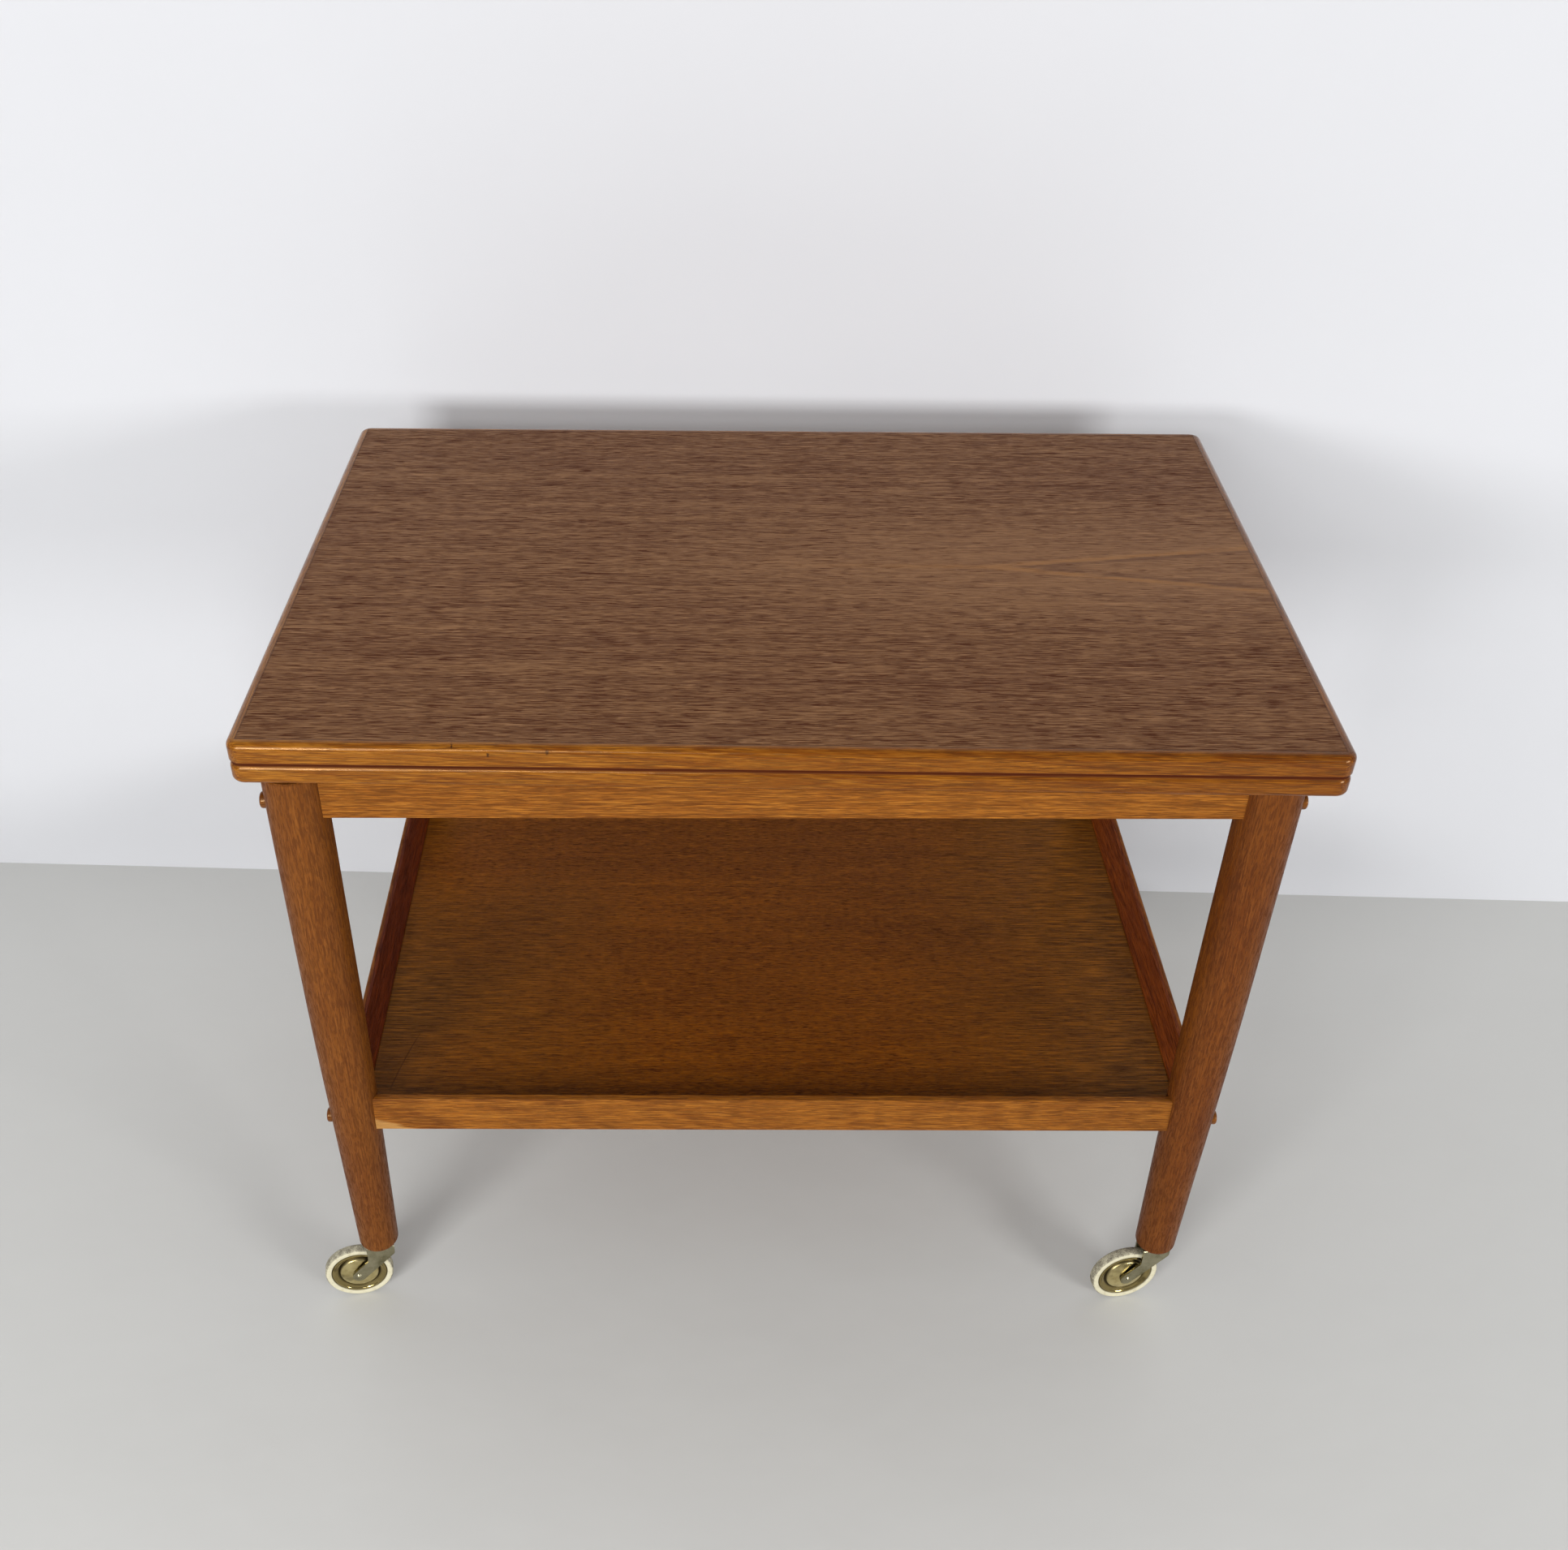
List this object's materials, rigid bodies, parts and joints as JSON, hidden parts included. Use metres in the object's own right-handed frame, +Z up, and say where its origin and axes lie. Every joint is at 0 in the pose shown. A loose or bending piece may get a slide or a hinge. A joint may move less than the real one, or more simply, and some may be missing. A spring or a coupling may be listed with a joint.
{
  "type": "folding top tea trolley",
  "caption": "Teak tea trolley on casters with a fold-over top that turns and opens to double size, round tapered legs and a lower shelf with raised rails.",
  "frame": {"origin": "on the floor under the middle of the trolley", "axes": "+X along the long side to the right seen from the front, +Y from front to back, +Z up"},
  "size_m": [0.7786, 0.5295, 0.6],
  "materials": {
    "top_veneer": "satin oiled teak veneer",
    "edging_teak": "satin oiled solid teak",
    "leg_teak": "satin oiled solid teak",
    "rail_teak": "satin oiled solid teak",
    "peg_teak": "satin oiled solid teak",
    "shelf_veneer": "satin oiled teak veneer",
    "inner_beech": "planed beech",
    "felt": "green felt",
    "hinge_brass": "aged brass",
    "wheel_brass": "polished aged brass",
    "fork_metal": "worn plated steel",
    "steel": "zinc plated",
    "pale_tyre": "cream rubber, worn tread"
  },
  "bodies": {
    "frame": {"apron_pegs": "peg_teak", "cleat_screws": "steel", "felt_pads": "felt", "front_apron": "rail_teak", "front_left_leg": "leg_teak", "front_left_socket": "steel", "front_right_leg": "leg_teak", "front_right_socket": "steel", "front_shelf_rail": "rail_teak", "left_apron": "rail_teak", "left_shelf_rail": "rail_teak", "pivot_board": "inner_beech", "pivot_bush": "hinge_brass", "pivot_cleats": "inner_beech", "rear_apron": "rail_teak", "rear_left_leg": "leg_teak", "rear_left_socket": "steel", "rear_right_leg": "leg_teak", "rear_right_socket": "steel", "rear_shelf_rail": "rail_teak", "right_apron": "rail_teak", "right_shelf_rail": "rail_teak", "shelf_panel": "shelf_veneer", "shelf_pegs": "peg_teak"},
    "lower_leaf": {"lower_hinge_plates": "hinge_brass", "lower_hinge_screws": "hinge_brass", "lower_leaf_edging": "edging_teak", "lower_leaf_panel": "top_veneer", "pivot_nut": "steel", "pivot_plate": "steel", "pivot_plate_screws": "steel", "pivot_washer": "steel", "turn_stop": "inner_beech"},
    "upper_leaf": {"hinge_pins": "hinge_brass", "upper_hinge_plates": "hinge_brass", "upper_hinge_screws": "hinge_brass", "upper_leaf_edging": "edging_teak", "upper_leaf_panel": "top_veneer"},
    "front_left_swivel": {"front_left_fork": "fork_metal", "front_left_stem": "steel", "front_left_axle": "fork_metal"},
    "front_left_roller": {"front_left_wheel": "wheel_brass", "front_left_tyre": "pale_tyre"},
    "front_right_swivel": {"front_right_fork": "fork_metal", "front_right_stem": "steel", "front_right_axle": "fork_metal"},
    "front_right_roller": {"front_right_wheel": "wheel_brass", "front_right_tyre": "pale_tyre"},
    "rear_left_swivel": {"rear_left_fork": "fork_metal", "rear_left_stem": "steel", "rear_left_axle": "fork_metal"},
    "rear_left_roller": {"rear_left_wheel": "wheel_brass", "rear_left_tyre": "pale_tyre"},
    "rear_right_swivel": {"rear_right_fork": "fork_metal", "rear_right_stem": "steel", "rear_right_axle": "fork_metal"},
    "rear_right_roller": {"rear_right_wheel": "wheel_brass", "rear_right_tyre": "pale_tyre"}
  },
  "joints": [
    {"name": "top_swivel", "type": "hinge", "parent": "frame", "child": "lower_leaf", "pos_m": [-0.12682, 0.13503, 0.5676], "axis": [0, 0, -1], "range_deg": [-1.13, 88.87]},
    {"name": "leaf_fold", "type": "hinge", "parent": "lower_leaf", "child": "upper_leaf", "pos_m": [0.01067, 0.25916, 0.5838], "axis": [-0.9998, 0.0197, 0], "range_deg": [0, 180]},
    {"name": "front_left_caster_swivel", "type": "hinge", "parent": "frame", "child": "front_left_swivel", "pos_m": [-0.338, -0.225, 0.066], "axis": [0, 0, 1], "continuous": true},
    {"name": "front_left_wheel_roll", "type": "hinge", "parent": "front_left_swivel", "child": "front_left_roller", "pos_m": [-0.35967, -0.22882, 0.0295], "axis": [0.1736, -0.9848, 0], "continuous": true},
    {"name": "front_right_caster_swivel", "type": "hinge", "parent": "frame", "child": "front_right_swivel", "pos_m": [0.338, -0.225, 0.066], "axis": [0, 0, 1], "continuous": true},
    {"name": "front_right_wheel_roll", "type": "hinge", "parent": "front_right_swivel", "child": "front_right_roller", "pos_m": [0.31633, -0.22882, 0.0295], "axis": [0.1736, -0.9848, 0], "continuous": true},
    {"name": "rear_left_caster_swivel", "type": "hinge", "parent": "frame", "child": "rear_left_swivel", "pos_m": [-0.338, 0.225, 0.066], "axis": [0, 0, 1], "continuous": true},
    {"name": "rear_left_wheel_roll", "type": "hinge", "parent": "rear_left_swivel", "child": "rear_left_roller", "pos_m": [-0.31633, 0.22882, 0.0295], "axis": [-0.1736, 0.9848, 0], "continuous": true},
    {"name": "rear_right_caster_swivel", "type": "hinge", "parent": "frame", "child": "rear_right_swivel", "pos_m": [0.338, 0.225, 0.066], "axis": [0, 0, 1], "continuous": true},
    {"name": "rear_right_wheel_roll", "type": "hinge", "parent": "rear_right_swivel", "child": "rear_right_roller", "pos_m": [0.35967, 0.22882, 0.0295], "axis": [-0.1736, 0.9848, 0], "continuous": true}
  ]
}
